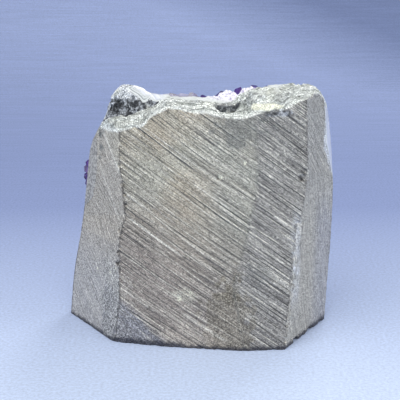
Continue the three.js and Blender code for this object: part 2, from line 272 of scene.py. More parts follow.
class Value:  # a node's output to reckon with: each operation adds a node
    def __init__(self, socket):
        self.socket = socket

    def __add__(self, other):
        return reckoned("ADD", self, other)

    def __sub__(self, other):
        return reckoned("SUBTRACT", self, other)

    def __rsub__(self, other):
        return reckoned("SUBTRACT", other, self)

    def __mul__(self, other):
        return reckoned("MULTIPLY", self, other)

    def __truediv__(self, other):
        return reckoned("DIVIDE", self, other)

    def __rtruediv__(self, other):
        return reckoned("DIVIDE", other, self)

    def __pow__(self, other):
        return reckoned("POWER", self, other)

    def __abs__(self):
        return reckoned("ABSOLUTE", self)


def put(kind, values, tree=None, out=0, **settings):  # adds a node beside its values, and gives an output
    if tree is None:
        tree = next(value.socket.id_data for value in values.values() if isinstance(value, Value))
    node = tree.nodes.new("ShaderNode" + kind)
    for name, value in settings.items():
        setattr(node, name, value)
    for socket, value in values.items():
        if isinstance(value, Value):
            tree.links.new(value.socket, node.inputs[socket])
        else:
            node.inputs[socket].default_value = value
    return Value(node.outputs[out])


def reckoned(operation, *values):
    return put("Math", dict(enumerate(values)), operation=operation)


def greater(a, b):
    return reckoned("MAXIMUM", a, b)


def between(low, high, value, start=0.0, end=1.0, step="SMOOTHSTEP"):  # goes from start to end as value does
    ends = {"Value": value, "From Min": low, "From Max": high, "To Min": start, "To Max": end}
    return put("MapRange", ends, interpolation_type=step)


def noise(place, scale, detail=2.0, roughness=0.5):
    return put("TexNoise", {"Vector": place, "Scale": scale, "Detail": detail, "Roughness": roughness})


def vector(x, y=0.0, z=0.0):
    return put("CombineXYZ", {0: x, 1: y, 2: z})


def parts(place):
    return [Value(socket) for socket in put("SeparateXYZ", {0: place}).socket.node.outputs]


def painted(tree, name, kind="Vector"):
    return put("Attribute", {}, tree, kind, attribute_name=name)


def laid(under, over, share, mode="MIX"):  # one colour over another; tones may be given as they stand
    under, over = (tone(*colour) if isinstance(colour, tuple) else colour for colour in (under, over))
    return put("Mix", {0: share, 6: under, 7: over}, out=2, data_type="RGBA", blend_type=mode)


def layered(tones, colour, mottle=None, **shares):  # lays named tones over a colour, one after another
    for name, share in shares.items():
        over = tones[name]
        if isinstance(over[0], tuple):  # two tones, mottled
            over = laid(*over, mottle)
        colour = laid(colour, over, share)
    return colour


def shaded(colour, shade):  # a colour made lighter or darker
    return laid(colour, put("CombineColor", {0: shade, 1: shade, 2: shade}), 1.0, mode="MULTIPLY")


def bumped(height, strength, distance):  # distance in millimetres
    return put("Bump", {"Strength": strength, "Distance": distance * mm, "Height": height})


def group(name, place, numbers, outputs, build):  # a shared effect; build makes its outputs from its inputs
    tree = bpy.data.node_groups.new(name, "ShaderNodeTree")
    tree.interface.new_socket(place, in_out="INPUT", socket_type="NodeSocketVector")
    for side, labels in ("INPUT", numbers), ("OUTPUT", outputs):
        for label in labels:
            tree.interface.new_socket(label, in_out=side, socket_type="NodeSocketFloat")
    given = {socket.name: Value(socket) for socket in tree.nodes.new("NodeGroupInput").outputs}
    end = tree.nodes.new("NodeGroupOutput")
    for label, value in build(given).items():
        tree.links.new(value.socket, end.inputs[label])
    return tree


def effect(shared, **values):  # places a shared effect in a material
    node = put("Group", values, node_tree=shared).socket.node
    return {socket.name: Value(socket) for socket in node.outputs}


def newMaterial(name):
    material = bpy.data.materials.new(name)
    material.use_nodes = True
    material.node_tree.nodes.clear()
    tree = material.node_tree
    return material, tree, put("TexCoord", {}, tree, "Object")


def finishMaterial(surface, volume=None):
    tree = surface.socket.id_data
    end = tree.nodes.new("ShaderNodeOutputMaterial")
    tree.links.new(surface.socket, end.inputs["Surface"])
    if volume is not None:
        tree.links.new(volume.socket, end.inputs["Volume"])


basaltSolid = Solid("basalt_matrix")
agateSolid = Solid("agate_lining")
crustSolid = Solid("amethyst_crust")
print("frame solids read")

# the saw's faces: azimuth and lean of the way each one looks, slope of the blade's marks on it (up to the
# right), how far the marks bend over 100 mm, and how strong they are
sawFaces = {
    "mainBack": (-97.5, 7, -33.2, 7, 1),
    "rightBack": (-85.7, 6.4, -36, 0, 1.2),
    "leftBackFoot": (-103.5, 0.5, -35, 0, 0.6),
    "rightBackEdge": (-57, 3.2, -72, 0, 0.5),
    "rightFlank": (-30.8, -2.1, -72, 8, 0.5),
    "upperRightFlank": (-29, 4.6, -49, 0, 0.5),
    "rightRimBevel": (-14, 6.8, -50, 0, 0.4),
    "leftFlank": (-146.3, 4.7, -39, 0, 0.5),
    "leftFlankBreak": (-146.3, 15, -39, 0, 0.5),
    "rightSide": (0, -1.4, -30, 10, 0.4),
    "leftCorner": (-139.9, 5, -38, 0, 0.5),
    "upperLeftFlank": (-142.5, 0, -42, 0, 0.5),
    "base": (0, -90, 12, 8, 0.8),
}
faceNumber = {name: i for i, name in enumerate(sawFaces)}
# single scratches: face, place across the marks, where it starts and ends along them, width, and how light
# (or, below 0, how dark) it is
scratches = [
    ("mainBack", 22.7, -37, 14, 0.5, 0.55),
    ("mainBack", -3.0, -29, -14, 0.6, 0.6),
    ("mainBack", -10.3, -23, 6, 0.6, 0.85),
    ("mainBack", 16.2, -9, 11, 0.6, 0.8),
    ("mainBack", 28.9, -10, 12, 0.5, 0.5),
    ("mainBack", -29.5, 17, 40, 0.9, 0.6),
    ("mainBack", -35.5, -11, 9, 0.7, 0.5),
    ("mainBack", -13.3, -1, 25, 0.8, -0.6),
    ("rightBack", 3.3, -4, 9, 0.8, 0.8),
    ("rightBack", -9.9, -2, 16, 0.6, 0.5),
    ("rightBack", -25.3, 4, 25, 0.8, 0.45),
    ("rightBack", 32.2, -29, -11, 0.8, -0.5),
]
blade = {
    "mark": 0.13,  # depth of the deepest mark
    "rhythm": [(3.8, 90, 0.15), (1.1, 60, 0.5), (0.7, 26, 0.55)],  # spacing, length and share of the marks
    "spacing": 1.3,  # of their colour
    "length": 60.0,
    "shift": (37.0, 211.0),  # across and along, from one face's marks to the next one's
    # the two cuts of the back part along this line
    "partHeights": [0, 25, 43, 60, 69, 78, 90],
    "partAcross": [18.5, 14.2, 18.7, 21.9, 23.3, 23.2, 22.2],
}
rock = {
    "voxel": 0.34,
    "triangles": 190000,
    "sharpEdge": 14,  # degrees
    "chips": (1.3, 0.5),  # width and depth of those along the edges
    "footChips": (2.6, 1.7),  # the foot's right side is splintered
    "brokenAbove": 78,
    "brokenForward": 0.92,  # faces that look further forwards than this are not broken
    "brokenRounds": 8,
    "brokenDepth": 0.85,
    "flatness": 0.65,  # how much of that is missing at the right
    "scarLifts": {"pitRidge": 1.0, "creamChip": 0.5, "rightCorner": 0.2, "rightTop": -0.9},
    "chipCuts": (0.7, 0.25),  # depth of the dark chips and of the light ones
    "join": 0.62,  # how far the stone goes over to the agate it touches
    "polishedRim": 5.0,  # how far back from the front the polish reaches
    "frontLean": 0.075,  # how far the front leans back for each millimetre of height
}
stoneLow, stoneHigh = (np.array(corner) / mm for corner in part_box("basalt_matrix"))
# scars on the stone, placed by shares of its box, with radii in millimetres
scars = {
    "pit": ((0.602, 0.455, 0.935), (5.6, 3.2, 3.6)),
    "pitRidge": ((0.7, 0.44, 0.96), (4.6, 3.5, 3)),
    "lumpWall": ((0.228, 0.6, 0.903), (11.2, 5, 6.6)),
    "lumpFoot": ((0.335, 0.6, 0.93), (3.4, 4, 2.4)),
    "brownPatch": ((0.605, 0.06, 0.07), (11, 9, 21.5)),
    "creamChip": ((0.735, 0.33, 0.937), (7.2, 3.6, 1.5)),
    # painted shadow under the cream chip
    "shadowUnderCream": ((0.78, 0.25, 0.922), (6, 3.5, 1.5)),
    "scuff": ((0.451, 0.12, 0.209), (4, 4, 3)),
    "brownSpot": ((0.61, 0.08, 0.235), (5.6, 6, 5)),
    "rightTop": ((0.855, 0.6, 1.0), (8, 9, 4)),
    "rightCorner": ((0.922, 0.62, 0.992), (3.2, 6, 3.4)),
    "ridgeShade": ((0.667, 0.4, 0.964), (5.5, 5, 3)),
    "rimShade": ((0.635, 0.2, 0.868), (11, 9, 6.5)),
    "cornerShade": ((0.146, 0.59, 0.797), (1.8, 2.2, 6.5)),
    "leftShade": ((0.298, 0.5, 0.96), (4.5, 6, 3)),
    "middleShade": ((0.486, 0.5, 0.96), (4, 6, 2.5)),
    "rightShade": ((0.8, 0.4, 0.955), (4.5, 6, 4)),
    "darkCut": ((0.71, 0.1, 0.29), (5, 6, 5)),
    "footPale": ((0.46, 0.1, 0.03), (14, 9, 6.5)),
    "edgeGrain": ((0.185, 0.24, 0.16), (8.5, 14, 17)),
}
# a small facet at the top of the left corner: its left edge runs from the first place to the second,
# given across and above; lower down a long scratch runs much the same way, and the broken skin ends at
# a line over it
cornerFacet = {
    "edge": ((-38.7, 84.6), (-30.6, 68.5)),
    "scratch": ((-42.1, 74.7), (-30.8, 47.4)),
    "skinAcross": (-37, -31),
    "skinAbove": (84.9, 85.6),
    "faces": [faceNumber[name] for name in ("leftFlank", "leftFlankBreak", "leftCorner", "upperLeftFlank")],
}
# the broken top's middle: domes of white quartz along the rim, and a ridge of stone before them
crest = {
    "across": [1, 3, 5, 7.2, 9.2, 12.4, 14.5, 16.5, 18, 21, 23.5],
    "lift": [0, 0.6, 1.4, 1.6, 4.0, 4.2, 3.0, 2.3, 3.0, 2.6, 0],
    "back": 6.3,
    "width": 2.7,
    "ridge": (18, 3),
    "ridgeRadii": (5, 4.5),
    "ridgeLift": 2.3,
    "above": (92, 94.5),  # where they start
}
# painted contact shade along the foot: how far up it is thickest, by place across
grimeAcross = [-36, -28, -12, -2, 10, 20, 34, 42]
grimeHeight = [0.9, 1.9, 1.8, 0.7, 0.6, 0.8, 1.2, 1.5]
# the darker foot at the left ends at a line through this place, as shares of the stone's box
footLine = {"across": 0.208, "above": 0.19, "slope": -0.78}
# where painted and carved effects start and where they are full, along x, y or z
stoneRegions = {
    "flatTop": [("x", 24, 30)],
    "splinteredFoot": [("z", 4, 1.5), ("x", 30, 37), ("y", 2, -4)],
    "facet": [("z", 66, 70)],
    "scratch": [("z", 45, 52), ("z", 77, 73)],
    "leftEdge": [("x", -22, -27)],
    "rightEdge": [("x", 32, 36)],
    "strip": [("x", 35.5, 37.5), ("x", 41, 39), ("y", -13, -14), ("z", 60, 50), ("z", 8, 30)],
    "whiteRim": [("x", 44, 46), ("z", 62, 72)],
    "lumpCap": [("z", 95, 96.5), ("x", -15, -20)],
}
# small chips: across, back and above as shares of the stone's box, and radius
darkChips = [
    (0.228, 0.303, 0.638, 1.1),
    (0.235, 0.291, 0.599, 0.9),
    (0.218, 0.331, 0.711, 0.8),
    (0.238, 0.278, 0.557, 1.0),
    (0.206, 0.246, 0.324, 1.3),
    (0.21, 0.255, 0.37, 0.9),
    (0.214, 0.283, 0.455, 0.8),
    (0.862, 0.2, 0.675, 1.3),
    (0.872, 0.196, 0.7, 0.9),
    (0.876, 0.481, 0.994, 1.0),
    (0.846, 0.34, 0.975, 0.7),
    (0.568, 0.205, 0.67, 0.5),
    (0.803, 0.16, 0.335, 0.6),
]
lightChips = [
    (0.575, 0.205, 0.677, 1.1),
    (0.662, 0.194, 0.735, 0.8),
    (0.177, 0.314, 0.275, 0.8),
    (0.18, 0.31, 0.255, 0.5),
    (0.122, 0.504, 0.261, 0.7),
    (0.124, 0.504, 0.24, 0.5),
    (0.2, 0.26, 0.3, 0.5),
    (0.43, 0.12, 0.2, 1.2),
    (0.47, 0.12, 0.225, 0.9),
]


def atShare(across, back, above):
    return stoneLow + (stoneHigh - stoneLow) * np.array([across, back, above])


def sawOwners(solid):  # for each face of a solid the saw face it belongs to, or -1
    looks = np.array([facing(azimuth, lean) for azimuth, lean, *_ in sawFaces.values()])
    match = solid.normals @ looks.T
    return np.where(match.max(1) > math.cos(math.radians(2)), match.argmax(1), -1)


def sawFrames(solid, owner):  # for each saw face its middle, the blade's way, and the way across the marks
    frames = []
    for i, (azimuth, lean, slope, *_) in enumerate(sawFaces.values()):
        look = facing(azimuth, lean)
        right = np.array([1.0, 0, 0]) if abs(look[2]) > 0.9 else unit(np.cross([0, 0, 1.0], look))
        own = owner == i
        middle = (solid.centres[own] * solid.areas[own, None]).sum(0) / max(solid.areas[own].sum(), 1e-12)
        turn = math.radians(slope)
        along = right * math.cos(turn) + np.cross(look, right) * math.sin(turn)
        frames.append((middle, along, np.cross(look, along)))
    return frames


def pastSeam(places):  # how far right of the line where the two cuts of the back part
    return places[:, 0] - np.interp(places[:, 2], blade["partHeights"], blade["partAcross"])


def partedBack(places, owner):
    main, right = faceNumber["mainBack"], faceNumber["rightBack"]
    cut = np.where(pastSeam(places) > 0, right, main)
    return np.where((owner == main) | (owner == right), cut, owner)


def bladePlaces(places, owner, frames):  # place across the marks, place along them, and how strong they are
    out = np.zeros((len(places), 3))
    acrossShift, alongShift = blade["shift"]
    for i, ((*_, bend, depth), (middle, along, across)) in enumerate(zip(sawFaces.values(), frames)):
        own = owner == i
        run = (places[own] - middle) @ along
        rise = (places[own] - middle) @ across
        out[own, 0] = rise - math.radians(bend) / 200 * run**2 + acrossShift * i
        out[own, 1] = run + alongShift * i
        out[own, 2] = depth
    return out


def markHeight(marks):  # height of the saw marks, from -1 to 1
    across, along, _ = marks.T
    total = np.zeros(len(marks))
    for seed, (spacing, length, share) in enumerate(blade["rhythm"]):
        cells = np.stack([across / spacing, along / length, np.zeros(len(marks))], axis=1)
        total += share * softNoise(cells, 1, seed)
    return np.clip(total, -1, 1)


def scar(places, name, ragged=0.25):  # 1 inside a scar, 0 outside, with a ragged edge
    share, radii = scars[name]
    far = np.linalg.norm((places - atShare(*share)) / np.array(radii), axis=1)
    far += ragged * (softNoise(places, 2.4, 30) + 0.5 * softNoise(places, 1.1, 31))
    return 1 - ramp(0.82, 1.05, far)


def lumpScars(places):  # the wall of the lump and its foot
    return np.maximum(scar(places, "lumpWall"), scar(places, "lumpFoot"))


def chips(places, spots):
    total = np.zeros(len(places))
    for *share, radius in spots:
        far = np.linalg.norm(places - atShare(*share), axis=1) / radius
        total = np.maximum(total, 1 - ramp(0.55, 1.25, far + 0.5 * softNoise(places, 0.8, 40)))
    return total


def lineGap(places, ends):  # how far right of a line given by its two ends
    (topX, topZ), (footX, footZ) = ends
    return places[:, 0] - topX - (topZ - places[:, 2]) * (footX - topX) / (topZ - footZ)


def frontGap(places):  # distance behind the polished front
    return cadHigh[1] - rock["frontLean"] * places[:, 2] - places[:, 1]


def crestLift(places):  # how far the rim rises over the middle of the broken top
    x, y, z = places.T
    dome = np.interp(x, crest["across"], crest["lift"])
    dome = dome * np.exp(-(((y - crest["back"]) / crest["width"]) ** 2))
    (ridgeX, ridgeY), (wide, deep) = crest["ridge"], crest["ridgeRadii"]
    ridge = crest["ridgeLift"] * np.exp(-(((x - ridgeX) / wide) ** 2) - ((y - ridgeY) / deep) ** 2)
    return np.maximum(dome, ridge) * ramp(*crest["above"], z)


def carvedBasalt():
    owner = sawOwners(basaltSolid)
    broken = (owner < 0) & (basaltSolid.centres[:, 2] > rock["brokenAbove"])
    broken &= basaltSolid.normals[:, 1] < rock["brokenForward"]
    frames = sawFrames(basaltSolid, owner)
    flattest = math.cos(math.radians(rock["sharpEdge"]))
    sharp, sharpWays = basaltSolid.edges(flattest, lambda i, j: owner[i] >= 0 or owner[j] >= 0)

    piece = finePiece("basaltStone", "basalt_matrix", rock["voxel"])
    mesh = piece.data
    places = placesOf(mesh)
    _, faces, _ = basaltSolid.nearest(places)
    isBroken = broken[faces].astype(float)
    edge, edgeGap = nearestPoint(sharp, places)
    toAgate, _, agateGap = agateSolid.nearest(places)
    look = basaltSolid.normals[faces]
    inner = ramp(0.25, 0.6, agateGap)

    # the broken top loses its flat facets, then gets its own crags
    soft = evened(mesh, isBroken[:, None], 0.9, 4)[:, 0]
    places = evened(mesh, places, soft * inner, round(suited(rock["brokenRounds"])))
    crags = 0.5 * ridges(places, (6.5, 4, 4), 1) + 0.36 * ridges(places, (3, 1.8, 2), 2)
    crags += 0.3 * ridges(places, 1.1, 3) + 0.15 * softNoise(places, 0.6, 4)
    hollow = scar(places, "pit", 0.12)
    clumps = np.abs(softNoise(places, 2.1, 9)) + 0.6 * np.abs(softNoise(places, 1.0, 10))
    flatTop = region(places, stoneRegions["flatTop"])
    push = (crags - 0.35) * rock["brokenDepth"] * (1 - rock["flatness"] * flatTop)
    push -= 1.5 * hollow + 1.7 * clumps * np.maximum(lumpScars(places), hollow)
    push += sum(lift * scar(places, name) for name, lift in rock["scarLifts"].items())
    push *= soft

    # saw marks, worn smooth on the brown patch
    marks = bladePlaces(places, partedBack(places, np.where(isBroken > 0, -1, owner[faces])), frames)
    depth = marks[:, 2] * (1 - 0.7 * scar(places, "brownPatch")) * ramp(0.1, 1.0, edgeGap)
    push += (markHeight(marks) - 1) * 0.5 * blade["mark"] * depth * (owner[faces] >= 0)
    for spots, cut in zip((darkChips, lightChips), rock["chipCuts"]):
        push -= cut * chips(places, spots)
    push = np.maximum(push, -np.maximum(agateGap - 0.35, 0))
    places = places + look * (push * inner)[:, None]

    # chips along the edges, deeper along the right side of the foot
    foot = region(places, stoneRegions["splinteredFoot"])
    width, deep = (least + (most - least) * foot for least, most in zip(rock["chips"], rock["footChips"]))
    ragged = softNoise(places, 2.4, 5) + 0.45 * softNoise(places, 0.9, 6)
    near = np.clip(1 - edgeGap / width, 0, 1)
    chip = deep * near * ramp(-0.2 * foot, 0.45, ragged) + 0.1 * ramp(0.5, 1, near)
    places = places - sharpWays[edge] * (chip * inner * ramp(4, 8, frontGap(places)))[:, None]

    # the stone meets the agate with no gap
    meet = 1 - ramp(0.3, 0.5, agateGap)
    places = places + (toAgate - places) * (rock["join"] * meet)[:, None]
    places[:, 2] += crestLift(places)
    setPlaces(mesh, np.clip(places, cadLow, cadHigh))
    mesh = thinned(piece, rock["triangles"])
    paintBasalt(mesh, owner, broken, sharp)
    paintMarks(mesh, owner, broken, frames)
    return piece


def paintBasalt(mesh, owner, broken, sharp):
    places = placesOf(mesh)
    across, back, above = places.T
    _, faces, _ = basaltSolid.nearest(places)
    _, _, agateGap = agateSolid.nearest(places)
    _, edgeGap = nearestPoint(sharp, places)
    soft = evened(mesh, broken[faces].astype(float)[:, None], 0.6, 2)[:, 0]
    onCorner = np.isin(owner[faces], cornerFacet["faces"])
    onBack = back < -6
    anyEdge = 2  # flatter than any edge is
    rim, _ = basaltSolid.edges(anyEdge, lambda i, j: broken[i] != broken[j] and max(owner[i], owner[j]) >= 0)
    _, rimGap = nearestPoint(rim, places)
    ragged = softNoise(places, 1.5, 13) + 0.5 * softNoise(places, 0.7, 14)

    rimLight = 1 - ramp(0.25, 0.75, rimGap + 0.3 * ragged)
    # painted shade: darker in the pit, and darker along the lump's wall and foot
    dark = np.maximum(scar(places, "pit", 0.12), lumpScars(places)) * ramp(0.1, 0.6, soft)

    # on the left corner the broken skin runs on down to a line of its own
    skinEnd = np.interp(across, cornerFacet["skinAcross"], cornerFacet["skinAbove"])
    overLine = (above - skinEnd + 0.3 * ragged) * onCorner
    soft = np.maximum(soft, ramp(-0.4, 0.4, overLine) * onCorner)
    rimLight = np.where(onCorner, ramp(0.9, 0.3, np.abs(overLine)), rimLight)
    shades = [0.3 * scar(places, name, 0.6) for name in ("leftShade", "middleShade", "rightShade")]
    shades = np.max([0.45 * scar(places, "ridgeShade", 0.5), *shades], axis=0) * soft
    # the third part is painted shade: in the pit, under the cream chip and over parts of the broken top, and
    # darker along the lump
    paint(mesh, "finish", soft, rimLight, np.max([dark, 0.8 * scar(places, "shadowUnderCream"), shades], axis=0))

    right = lineGap(places, cornerFacet["edge"])
    facetTop = region(places, stoneRegions["facet"]) * onCorner
    facetLine = ramp(0.75, 0.2, np.abs(right) + 0.2 * ragged) * facetTop
    scratchLine = ramp(0.65, 0.15, np.abs(lineGap(places, cornerFacet["scratch"])) + 0.2 * ragged)
    scratchLine *= region(places, stoneRegions["scratch"]) * onCorner
    facetLine = np.maximum(facetLine, 0.7 * scratchLine)
    edgeGrain = scar(places, "edgeGrain", 0.5) * (0.4 + 0.6 * onCorner)
    # painted shading: the small facet at the top of the left corner gets a tone of its own for its slant
    paint(mesh, "corner", ramp(-0.3, 0.3, right) * facetTop, facetLine, edgeGrain)

    beyond = pastSeam(places) + 0.5 * softNoise(places, 2, 15)
    seam = ramp(0.7, 0.1, np.abs(beyond + 0.5) + 0.3 * ragged) * onBack
    footX, _, footZ = atShare(footLine["across"], 0, footLine["above"])
    overFoot = above - footZ - (across - footX) * footLine["slope"]
    foot = ramp(2, -2, overFoot - 2.5 * softNoise(places, 6, 4)) * onBack
    patch = 0.75 * scar(places, "brownPatch", 0.45) + 0.35 * scar(places, "brownSpot", 0.5)
    paint(mesh, "tint", patch, ramp(-0.8, 0.8, beyond), foot)

    polish = (1 - ramp(rock["polishedRim"] - 1, rock["polishedRim"] + 1.5, frontGap(places))) * (1 - soft)
    # painted shade: a dark band along the foot, where the stone meets the floor
    thick = np.interp(across, grimeAcross, grimeHeight)
    grime = ramp(thick + 1.4, thick - 0.2, above + 0.7 * ragged) * (1 - polish)
    underneath = ramp(0.6, 0.85, -basaltSolid.normals[faces][:, 2])
    grime *= 1 - underneath * ramp(0.6, 2.6, edgeGap + 0.6 * ragged)
    paint(mesh, "skin", agateGap, polish, grime)

    cutEdge = (1 - ramp(0.15, 0.8, edgeGap + 0.35 * ragged)) * ramp(0.5, 0, soft)
    leftEdge, rightEdge = (region(places, stoneRegions[name]) for name in ("leftEdge", "rightEdge"))
    darkEdge = cutEdge * (0.75 * leftEdge + 0.35 * rightEdge)
    strip = region(places, stoneRegions["strip"]) * (0.35 + 0.4 * ragged)
    whiteRim = ramp(2.4, 1.4, agateGap + 0.5 * ragged) * region(places, stoneRegions["whiteRim"])
    pale = np.maximum(0.75 * chips(places, lightChips), 0.25 * scar(places, "scuff", 0.7))
    darkSpots = np.maximum(chips(places, darkChips), darkEdge)
    paleSpots = np.maximum(pale, scar(places, "creamChip", 0.4))
    paint(mesh, "spots", darkSpots, paleSpots, np.maximum(strip, whiteRim))

    lumpCap = ramp(3.0, 2.2, agateGap + 0.3 * ragged) * region(places, stoneRegions["lumpCap"])
    shades = [(0.55, "rimShade", 0.7), (0.35, "darkCut", 0.7), (0.9, "cornerShade", 1.0)]
    shades = [strength * scar(places, name, edge) for strength, name, edge in shades]
    shade = np.max([0.45 * seam, *shades], axis=0) * (1 - soft)
    paint(mesh, "hollows", lumpCap, scar(places, "pit", 0.12), shade)
    paint(mesh, "footPale", scar(places, "footPale", 0.6))


def paintMarks(mesh, owner, broken, frames):  # at face corners, so that the marks end sharp at the edges
    def listed(items, name):
        values = np.empty(len(items), np.int32)
        items.foreach_get(name, values)
        return values

    corners = placesOf(mesh)[listed(mesh.loops, "vertex_index")]
    counts = listed(mesh.polygons, "loop_total")
    middles = np.add.reduceat(corners, listed(mesh.polygons, "loop_start")) / counts[:, None]
    _, faces, _ = basaltSolid.nearest(middles)
    faceOwner = partedBack(middles, np.where(broken[faces], -1, owner[faces]))
    marks = bladePlaces(corners, np.repeat(faceOwner, counts), frames)
    paint(mesh, "marks", *marks.T, domain="CORNER")


basalt = carvedBasalt()
print("basalt carved:", len(basalt.data.loop_triangles), "triangles")


# shared effects: each puts out values only


# saw marks: light and dark streaks, partly the stone's own colour in the marks, partly painted light and
# shade of the grooves
def buildSawMarks(given):
    across, along, strength = parts(given["Marks"])
    across, along = across / given["Spacing"], along / given["Length"]

    def swept(spacing, length, offset, detail=0.0):  # noise drawn out along the blade's way
        return noise(vector(across / spacing, along * (1 / length) + offset), 1.0, detail)

    def lines(spacing, offset, width):  # straight thin lines, each stronger here and weaker there
        turn = swept(9.0, 1.0, offset) * 2.0 + across / spacing
        gap = abs(reckoned("FRACT", turn) - 0.5)
        own = noise(vector(reckoned("FLOOR", turn) * 0.73 + offset, along * 2.5), 1.0)
        return between(width, width * 0.3, gap) * between(0.42, 0.62, own)

    def bands(spacing, length, offset, share):  # light and dark bands, from minus share to share
        return between(0.32, 0.68, swept(spacing, length, offset, 1.0), -share, share, "LINEAR")

    haze = bands(1.6, 0.7, 3.0, 0.15) + bands(0.34, 0.5, 51.0, 0.6) + bands(0.33, 0.04, 77.0, 0.28)
    light = (greater(haze, 0.0) + lines(1.7, 31.0, 0.14)) * strength
    cuts = greater(lines(1.05, 67.0, 0.19), lines(1.9, 93.0, 0.12))
    dark = (greater(haze * -1.0, 0.0) + cuts) * strength
    return {"Light": light, "Dark": dark, "Height": light - dark}


def buildScratch(given):
    across, along, _ = parts(given["Marks"])
    body = between(given["Width"], 0.0, abs(across - given["Across"]), step="LINEAR")
    ends = between(0.0, 3.0, along - given["Start"]) * between(0.0, 5.0, given["End"] - along)
    broken = between(0.36, 0.56, noise(vector(along * 0.35, across), 1.0), 0.3)
    return {"Share": body * ends * broken}


def buildGrain(given):
    scale = 1000.0 / given["Size"]
    coarse = noise(given["Place"], scale, 2.0, 0.7)
    specks = put("TexVoronoi", {"Vector": given["Place"], "Scale": scale}, feature="F1")
    shade = between(0.3, 0.7, coarse, -1.0, 1.0, "LINEAR") * given["Contrast"] + 1.0
    return {"Shade": shade, "Speck": between(0.35, 0.1, specks), "Height": coarse}


sawMarks = group("saw marks", "Marks", ["Spacing", "Length"], ["Light", "Dark", "Height"], buildSawMarks)
scratch = group("scratch", "Marks", ["Across", "Start", "End", "Width"], ["Share"], buildScratch)
grain = group("grain", "Place", ["Size", "Contrast"], ["Shade", "Speck", "Height"], buildGrain)

# where there are two tones, the stone is mottled with both
stoneTones = {
    "warm": ((180, 169, 149), (174, 169, 153)),
    "greenish": (168, 176, 166),
    "towardsRight": (164, 166, 159),
    # painted shade: the back darker low down, more so to the left
    "lowDown": (147, 139, 134),
    "rightBack": ((151, 149, 146), (142, 141, 139)),  # low and high
    "leftFlank": ((175, 175, 177), (165, 160, 152)),
    "rightFlank": ((181, 177, 168), (163, 162, 159)),
    # painted reflection: a bluish cast from the cloth, low on the right flank's far edge
    "farRight": (162, 165, 180),
    "flankGrain": (186, 182, 172),
    "flankSpecks": (120, 121, 126),
    # painted shading of the small facet at the top of the left corner
    "facet": (172, 168, 157),
    "facetLine": (228, 226, 216),
    "patch": ((98, 92, 82), (146, 140, 127)),
    "footPale": (204, 194, 182),
    "foot": ((104, 105, 114), (146, 147, 155)),
    "edgeGrain": ((104, 104, 102), (194, 194, 190)),
    "strip": (228, 232, 240),
    # saw marks: partly their own colour, partly painted light and shade of the grooves
    "lightMarks": (226, 222, 210),
    "darkMarks": (86, 85, 85),
    "lightScratch": (240, 237, 226),
    "darkScratch": (76, 75, 76),
    "shade": (108, 111, 110),
    "chalk": ((160, 165, 160), (244, 247, 242)),
    "creamy": (214, 214, 186),
    "chalkSpecks": (132, 139, 140),
    "crack": (92, 94, 84),
    "chalkLeft": (140, 142, 142),
    "chalkRight": (164, 168, 164),
    "rimLight": (232, 233, 226),
    # painted shade in the pit and under the cream chip, and darker along the lump's wall
    "hollow": ((48, 51, 58), (170, 175, 182)),
    # painted shade on the pit's floor
    "pit": ((68, 72, 75), (126, 130, 133)),
    "lumpCap": ((112, 117, 122), (226, 229, 232)),
    "paleSpots": (240, 240, 220),
    "darkSpots": (58, 56, 58),
    # painted contact shade along the foot
    "grime": (48, 50, 62),
    "polish": (112, 108, 104),
}
stoneLook = {
    "fine": (0.75, 0.2),  # size and contrast of the grain
    "finest": (0.36, 0.85),
    "coarse": (2.2, 0.12),
    "flankGrain": 0.25,  # how much stronger the finest grain is on the flanks
    "marks": 0.7,
    "relief": 0.14,
    "roughness": (0.86, 0.28),  # raw and polished
    "specular": 0.35,
}


